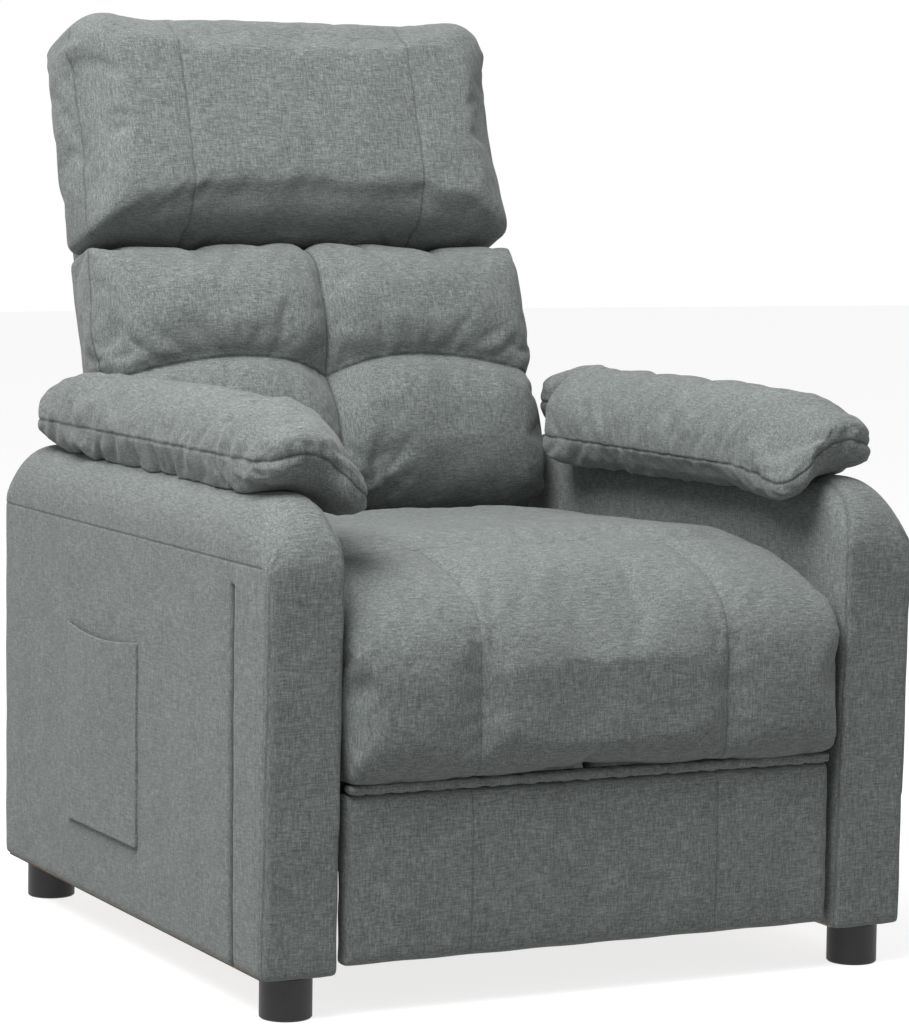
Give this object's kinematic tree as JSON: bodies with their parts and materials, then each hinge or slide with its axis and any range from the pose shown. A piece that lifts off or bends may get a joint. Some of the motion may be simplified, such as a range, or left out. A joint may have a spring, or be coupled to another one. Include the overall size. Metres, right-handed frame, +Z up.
{
  "type": "recliner armchair",
  "caption": "Push-back recliner armchair with padded arms, arm pillows, side pocket, tufted back, folding footrest linkage and a seat that swings forward as the back reclines.",
  "frame": {"origin": "on the floor under the middle of the chair's bounding box", "axes": "+X to the sitter's left, +Y backwards, +Z up"},
  "size_m": [0.7475, 0.9873, 1.02],
  "materials": {
    "upholstery": "woven",
    "timber": "raw",
    "plywood": "raw",
    "hardboard": "matte",
    "link_steel": "satin",
    "zinc_steel": "zinc plated",
    "spring_steel": "oiled",
    "felt": "felt",
    "elastic": "woven",
    "foot_plastic": "satin"
  },
  "bodies": {
    "base": {"arm_cover_left": "upholstery", "arm_cover_right": "upholstery", "arm_facing_left": "upholstery", "arm_facing_right": "upholstery", "arm_frame_left": "timber", "arm_frame_right": "timber", "arm_inner_panel_left": "plywood", "arm_inner_panel_right": "plywood", "arm_outer_panel_left": "hardboard", "arm_outer_panel_right": "hardboard", "arm_pillow_left": "upholstery", "arm_pillow_right": "upholstery", "side_pocket": "upholstery", "foot_front_left": "foot_plastic", "foot_front_right": "foot_plastic", "foot_rear_left": "foot_plastic", "foot_rear_right": "foot_plastic", "foot_studs": "zinc_steel", "base_rail_left": "link_steel", "base_rail_right": "link_steel", "base_rail_bolts": "zinc_steel", "base_pins": "zinc_steel", "front_cross_tube": "link_steel", "rear_cross_tube": "link_steel"},
    "swing_front": {"swing_front_links": "link_steel"},
    "swing_rear": {"swing_rear_links": "link_steel"},
    "seat": {"seat_plate_left": "link_steel", "seat_plate_right": "link_steel", "seat_pins": "zinc_steel", "seat_screws": "zinc_steel", "seat_side_rail_left": "timber", "seat_side_rail_right": "timber", "seat_cross_rails": "timber", "seat_springs": "spring_steel", "seat_deck": "felt", "seat_cushion": "upholstery"},
    "back": {"back_post_left": "timber", "back_post_right": "timber", "back_bottom_rail": "timber", "back_top_rail": "timber", "back_webbing": "elastic", "back_bracket_left": "link_steel", "back_bracket_right": "link_steel", "back_bracket_screws": "zinc_steel", "headrest_cushion": "upholstery", "lumbar_cushion": "upholstery", "back_cover": "upholstery"},
    "front_crank": {"front_cranks": "link_steel", "crank_pins": "zinc_steel", "torque_bar": "link_steel"},
    "rear_crank": {"rear_cranks": "link_steel"},
    "upper_reach": {"upper_reach_links": "link_steel", "upper_reach_pins": "zinc_steel"},
    "lower_reach": {"lower_reach_links": "link_steel", "lower_reach_pins": "zinc_steel"},
    "footrest": {"footrest_board": "plywood", "footrest_pad": "upholstery", "footrest_top_roll": "upholstery", "footrest_brackets": "link_steel", "footrest_screws": "zinc_steel"}
  },
  "joints": [
    {"name": "back_recline", "type": "hinge", "parent": "seat", "child": "back", "pos_m": [0, 0.1865, 0.215], "axis": [-1, 0, 0], "range_deg": [0, 28]},
    {"name": "seat_swing", "type": "hinge", "parent": "base", "child": "swing_front", "pos_m": [0, -0.2585, 0.08], "axis": [1, 0, 0], "range_deg": [0, 56]},
    {"name": "seat_level", "type": "hinge", "parent": "swing_front", "child": "seat", "pos_m": [0, -0.20216, 0.18595], "axis": [-1, 0, 0], "range_deg": [0, 56]},
    {"name": "rear_swing", "type": "hinge", "parent": "base", "child": "swing_rear", "pos_m": [0, 0.0515, 0.08], "axis": [1, 0, 0], "range_deg": [0, 56]},
    {"name": "footrest_open", "type": "hinge", "parent": "seat", "child": "front_crank", "pos_m": [0, -0.4065, 0.236], "axis": [-1, 0, 0], "range_deg": [0, 100]},
    {"name": "rear_crank_turn", "type": "hinge", "parent": "seat", "child": "rear_crank", "pos_m": [0, -0.3635, 0.2268], "axis": [-1, 0, 0], "range_deg": [0, 100]},
    {"name": "upper_reach_level", "type": "hinge", "parent": "front_crank", "child": "upper_reach", "pos_m": [0, -0.3115, 0.118], "axis": [1, 0, 0], "range_deg": [0, 100]},
    {"name": "lower_reach_level", "type": "hinge", "parent": "front_crank", "child": "lower_reach", "pos_m": [0, -0.3073, 0.0782], "axis": [1, 0, 0], "range_deg": [0, 100]},
    {"name": "footrest_tilt", "type": "hinge", "parent": "upper_reach", "child": "footrest", "pos_m": [0, -0.4225, 0.222], "axis": [-1, 0, 0], "range_deg": [0, 100]}
  ],
  "couplings": [
    {"joint": "seat_swing", "follows": "back_recline", "ratio": 2},
    {"joint": "seat_level", "follows": "back_recline", "ratio": 2},
    {"joint": "rear_swing", "follows": "back_recline", "ratio": 2},
    {"joint": "rear_crank_turn", "follows": "footrest_open", "ratio": 1},
    {"joint": "upper_reach_level", "follows": "footrest_open", "ratio": 1},
    {"joint": "lower_reach_level", "follows": "footrest_open", "ratio": 1},
    {"joint": "footrest_tilt", "follows": "footrest_open", "ratio": 1}
  ]
}
